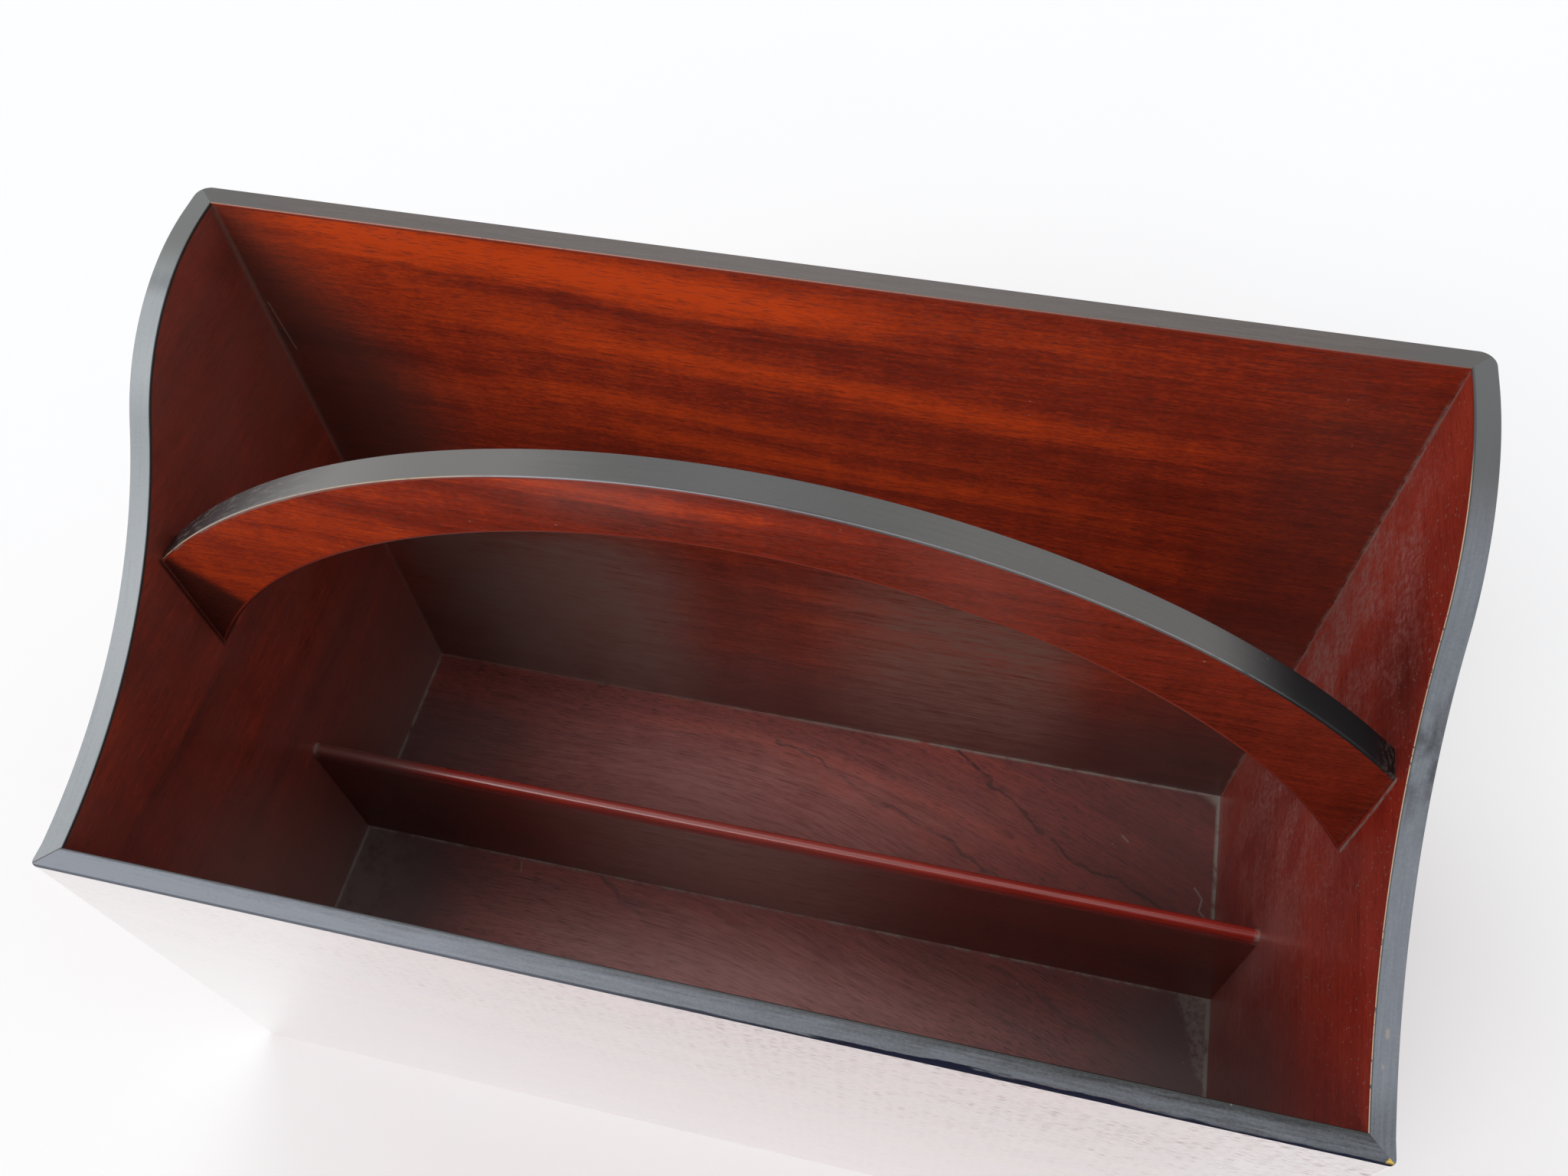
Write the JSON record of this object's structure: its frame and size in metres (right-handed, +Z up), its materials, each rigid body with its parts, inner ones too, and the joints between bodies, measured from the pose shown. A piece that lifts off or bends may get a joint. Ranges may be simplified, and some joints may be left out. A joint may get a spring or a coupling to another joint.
{
  "type": "magazine holder",
  "caption": "Open-topped veneered wooden box with a low front, a high back, S-curved ends, a low divider and an arched carrying handle.",
  "frame": {"origin": "on the surface that the box stands on, under the middle of the box", "axes": "+X to the right along the length, +Y from the low front to the high back, +Z up"},
  "size_m": [0.3484, 0.1744, 0.2692],
  "materials": {
    "sapele_veneer": "satin lacquer over reddish ribbon-striped veneer",
    "black_lacquered_edge": "black satin lacquer",
    "hardwood_lipping": "gloss lacquer over dark red hardwood",
    "board_core": "raw fibreboard, hidden",
    "beech": "raw, glued in, hidden"
  },
  "bodies": {
    "root": {"back_core": "board_core", "back_corner_tongues": "beech", "back_inner_veneer": "sapele_veneer", "back_outer_veneer": "sapele_veneer", "back_top_edging": "black_lacquered_edge", "divider_back_veneer": "sapele_veneer", "divider_core": "board_core", "divider_front_veneer": "sapele_veneer", "divider_lipping": "hardwood_lipping", "floor_backing_veneer": "sapele_veneer", "floor_core": "board_core", "floor_veneer": "sapele_veneer", "front_core": "board_core", "front_corner_tongues": "beech", "front_inner_veneer": "sapele_veneer", "front_outer_veneer": "sapele_veneer", "front_top_edging": "black_lacquered_edge", "handle_back_veneer": "sapele_veneer", "handle_core": "board_core", "handle_front_veneer": "sapele_veneer", "handle_top_edging": "black_lacquered_edge", "handle_under_edging": "black_lacquered_edge", "left_core": "board_core", "left_handle_dowels": "beech", "left_inner_veneer": "sapele_veneer", "left_outer_veneer": "sapele_veneer", "left_top_edging": "black_lacquered_edge", "right_core": "board_core", "right_handle_dowels": "beech", "right_inner_veneer": "sapele_veneer", "right_outer_veneer": "sapele_veneer", "right_top_edging": "black_lacquered_edge"}
  },
  "joints": []
}
